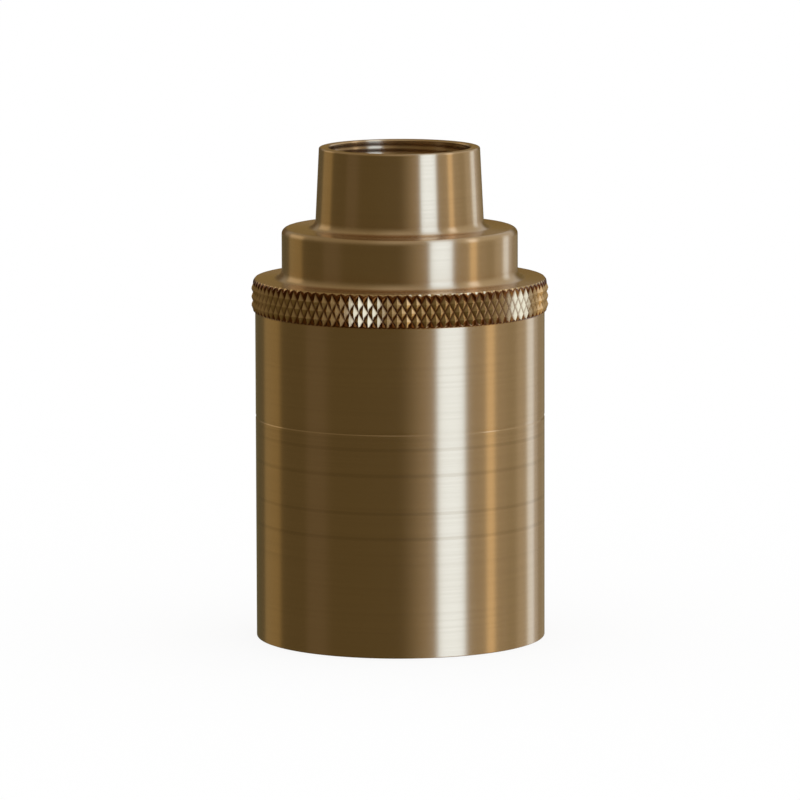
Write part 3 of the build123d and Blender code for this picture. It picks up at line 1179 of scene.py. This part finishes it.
@dataclass(frozen=True)
class LightTent:
    """Closed tent that only the gloss of the pieces sees.

    It is a photographer's tent: dark cloth on the left and behind the camera,
    paler walls on the right and at the back, tall bright strips, and a pale
    roof that is greyer on the left.
    """

    radius_m: float = 4.0
    columns: int = 720
    rows: int = 180
    cloth: str = "#67614A"
    panels: tuple[Panel, ...] = (
        # Walls, and a fold in the cloth on the left
        Panel(-190, -148, "#605C43", 1.0, 4, 4),
        Panel(-80, -60, "#746E5E", 1.0, 3, 10),
        Panel(13, 144, "#AFAEA8", 1.0, 32, 6),
        Panel(94, 107, "#A5A499", 1.0, 6, 6),
        Panel(107, 142, "#C3C5C4", 1.0, 8, 6),
        Panel(144, 190, "#A0977F", 1.0, 6, 10),
        Panel(-200, -168, "#7F7961", 1.0, 1, 16),
        Panel(168, 200, "#7F7961", 1.0, 16, 1),
        # Roof, paler towards the right
        Panel(-200, 200, "#A29F93", 1.0, 1, 1, 25, 95, 44, 1),
        Panel(-22, 200, "#BCBFC2", 1.0, 40, 1, 27, 95, 42, 1),
        Panel(60, 150, "#CFD3D5", 1.0, 12, 10, 14, 95, 30, 1),
        # Dim strip far on the left, brighter high up, and the roof above it
        Panel(-138, -111, "#998E6B", 1.0, 5, 4, -95, 60, 1, 20),
        Panel(-136, -109, "#DDD7C6", 1.0, 4, 4, 18, 50, 18, 18),
        Panel(-200, 8, "#938C76", 1.0, 1, 30, 66, 95, 34, 1),
        # Main strip, which bends back into the roof
        Panel(29.5, 52.7, "#A0C1FF", 4.15, 3, 3.5, -28, 60, 12, 16),
        Panel(29, 53, "#B0CBFF", 2.5, 4, 4, 37, 95, 26, 1),
        Panel(22, 54, "#C2DAFF", 1.65, 8, 6, 60, 95, 20, 1),
        # Two narrow strips on the right
        Panel(72.5, 80.8, "#FFF6E0", 1.02, 3, 3, -28, 50, 12, 24),
        Panel(70.5, 81.5, "#D4E1FF", 2.15, 4, 3, 16, 48, 14, 28),
        Panel(121.5, 133.6, "#C6DCFF", 1.9, 3, 4, -28, 30, 12, 32),
        # Darker cloth high at the back, which the ends of the fillets show
        Panel(-200, -152, "#64543A", 1.0, 1, 18, 12, 78, 20, 12),
        Panel(152, 200, "#75653F", 1.0, 18, 1, 12, 78, 20, 12),
        # Far wall above level, which the flats show
        Panel(-200, 200, "#887346", 1.0, 1, 1, 74, 95, 18, 1),
    )

    def tone(self, facing: np.ndarray, lean: np.ndarray) -> np.ndarray:
        """Linear colour of the tent where a wall would show it to the eye.

        The panels are laid over the cloth in order, each by its weight.

        Args:
            facing: Twice the wall's bearing, -180 to 180 degrees.
            lean: Degrees by which the wall leans back.

        Returns:
            The colours, three channels last.
        """
        colour = np.broadcast_to(np.array(linear(self.cloth)[:3]), (*facing.shape, 3))
        for panel in self.panels:
            light = np.array(linear(panel.colour)[:3]) * panel.level
            colour = colour + (light - colour) * panel.weight(facing, lean)[..., None]
        return colour

    def painted(self, spots: np.ndarray) -> np.ndarray:
        """Colours of the tent at points on it.

        The wall that shows a point to the eye faces halfway between the
        point's direction and the eye's, so its normal is their sum.

        Args:
            spots: (points, 3), any distance from the origin.

        Returns:
            (points, 3) linear colours.
        """
        up = radians(EYE_RISE)
        normal = spots / np.linalg.norm(spots, axis=1)[:, None] + np.array([0, -cos(up), sin(up)])
        flat = np.linalg.norm(normal[:, :2], axis=1)
        bearing = np.degrees(np.arctan2(normal[:, 0], -normal[:, 1]))
        lean = np.degrees(np.arctan2(normal[:, 2], flat))
        return self.tone(2 * np.clip(bearing, -90, 90), lean)

    def build(self) -> bpy.types.Object:
        """Makes the tent, a globe that faces inwards with its tones as colours.

        Returns:
            The tent, which only glossy rays see.
        """
        around = np.linspace(-pi, pi, self.columns + 1)
        upwards = np.linspace(-pi / 2, pi / 2, self.rows + 1)
        angle, up = np.meshgrid(around, upwards, indexing="ij")
        reach, none = self.radius_m / MM, np.zeros_like(angle)
        x, y = reach * np.sin(angle) * np.cos(up), -reach * np.cos(angle) * np.cos(up)
        grid = np.stack([x, y, reach * np.sin(up), none, none], axis=-1)
        tent = skin("light_tent", grid[::-1])
        mesh = tent.data
        spots = np.empty(len(mesh.vertices) * 3, np.float32)
        mesh.vertices.foreach_get("co", spots)
        tones = self.painted(spots.reshape(-1, 3).astype(float))
        tones = np.concatenate([tones, np.ones((len(tones), 1))], axis=1)
        layer = mesh.color_attributes.new(Trace.TONE.value, "FLOAT_COLOR", "POINT")
        layer.data.foreach_set("color", tones.astype(np.float32).ravel())
        material = GlowingCloth("tent_cloth_and_strips").build()
        # It shows in the gloss, and isn't sampled as a lamp
        material.cycles.emission_sampling = "NONE"
        wear(tent, material)
        tent.visible_camera = tent.visible_diffuse = tent.visible_shadow = False
        tent.visible_transmission = tent.visible_volume_scatter = False
        return tent


@dataclass(frozen=True)
class Studio:
    """Pale floor, plain white light, the tent and the camera.

    Attributes:
        floor_drop: How far the floor lies below the rim, so that they don't meet.
        target_height: Level on the axis that the camera looks at.
        aside: How far to the right of the axis it looks.
        distance: From there to the camera.
    """

    floor_m: float = 6.0
    floor_drop: float = 0.02
    target_height: float = 38.609
    aside: float = -0.019
    distance: float = 1133.9
    roll: float = -0.156
    lens: float = 313.69
    sensor: float = 36.0
    clip_near_m: float = 0.05
    clip_far_m: float = 50.0
    tent: LightTent = LightTent()

    def floor(self) -> bpy.types.Object:
        """A flat pale floor that keeps a soft shadow under the holder.

        Returns:
            The floor, which glossy rays pass by.
        """
        half = self.floor_m / MM / 2
        side = np.array([-half, half])
        x, y = np.meshgrid(side, side, indexing="ij")
        level, none = np.full_like(x, -self.floor_drop), np.zeros_like(x)
        floor = skin("floor", np.stack([x, y, level, none, none], axis=-1))
        material = WhitePaper("matt_white_paper_floor").build()
        material.cycles.emission_sampling = "NONE"
        wear(floor, material)
        floor.visible_glossy = False
        return floor

    def light(self) -> None:
        """A white world at a strength of 1, at which colours render as written."""
        world = bpy.data.worlds.new("white_studio")
        world.use_nodes = True
        world.node_tree.nodes.clear()
        sky = add(world.node_tree, "ShaderNodeBackground", {0: linear("#FFFFFF"), 1: 1.0})
        add(world.node_tree, "ShaderNodeOutputWorld", {0: sky.outputs[0]})
        bpy.context.scene.world = world

    def camera(self) -> bpy.types.Object:
        """The photograph's viewpoint: just above level, from far away.

        Returns:
            The camera.
        """
        data = bpy.data.cameras.new("camera")
        data.lens, data.sensor_width = self.lens, self.sensor
        data.clip_start, data.clip_end = self.clip_near_m, self.clip_far_m
        camera = bpy.data.objects.new("camera", data)
        rise = radians(EYE_RISE)
        back = Vector((0, -cos(rise), sin(rise)))
        aim = Vector((self.aside, 0, self.target_height)) * MM
        place = Matrix.Translation(aim + back * self.distance * MM)
        turn = (-back).to_track_quat("-Z", "Y").to_matrix().to_4x4()
        camera.matrix_world = place @ turn @ Matrix.Rotation(radians(self.roll), 4, "Z")
        bpy.context.scene.collection.objects.link(camera)
        bpy.context.scene.camera = camera
        return camera

    def build(self) -> None:
        """Sets up everything that isn't the holder."""
        self.floor()
        self.light()
        self.tent.build()
        self.camera()
        bpy.context.scene.view_settings.view_transform = "Standard"


def main() -> None:
    """Builds and dresses the holder piece by piece, then the studio."""
    logging.basicConfig(level=logging.INFO, format="%(name)s: %(message)s")
    materials = {slot: finish.build() for slot, finish in SLOT_FINISHES.items()}
    cap, sleeve = Cap(), Sleeve()
    cap_piece, sleeve_piece = cap.build(), sleeve.build()
    cap.dress(cap_piece, materials["brass"])
    sleeve.dress(sleeve_piece)
    for piece in (cap_piece, sleeve_piece):
        LOG.info("%s: %d faces", piece.name, len(piece.data.polygons))
    Fittings(materials).dress()
    Studio().build()


if __name__ == "__main__":
    main()
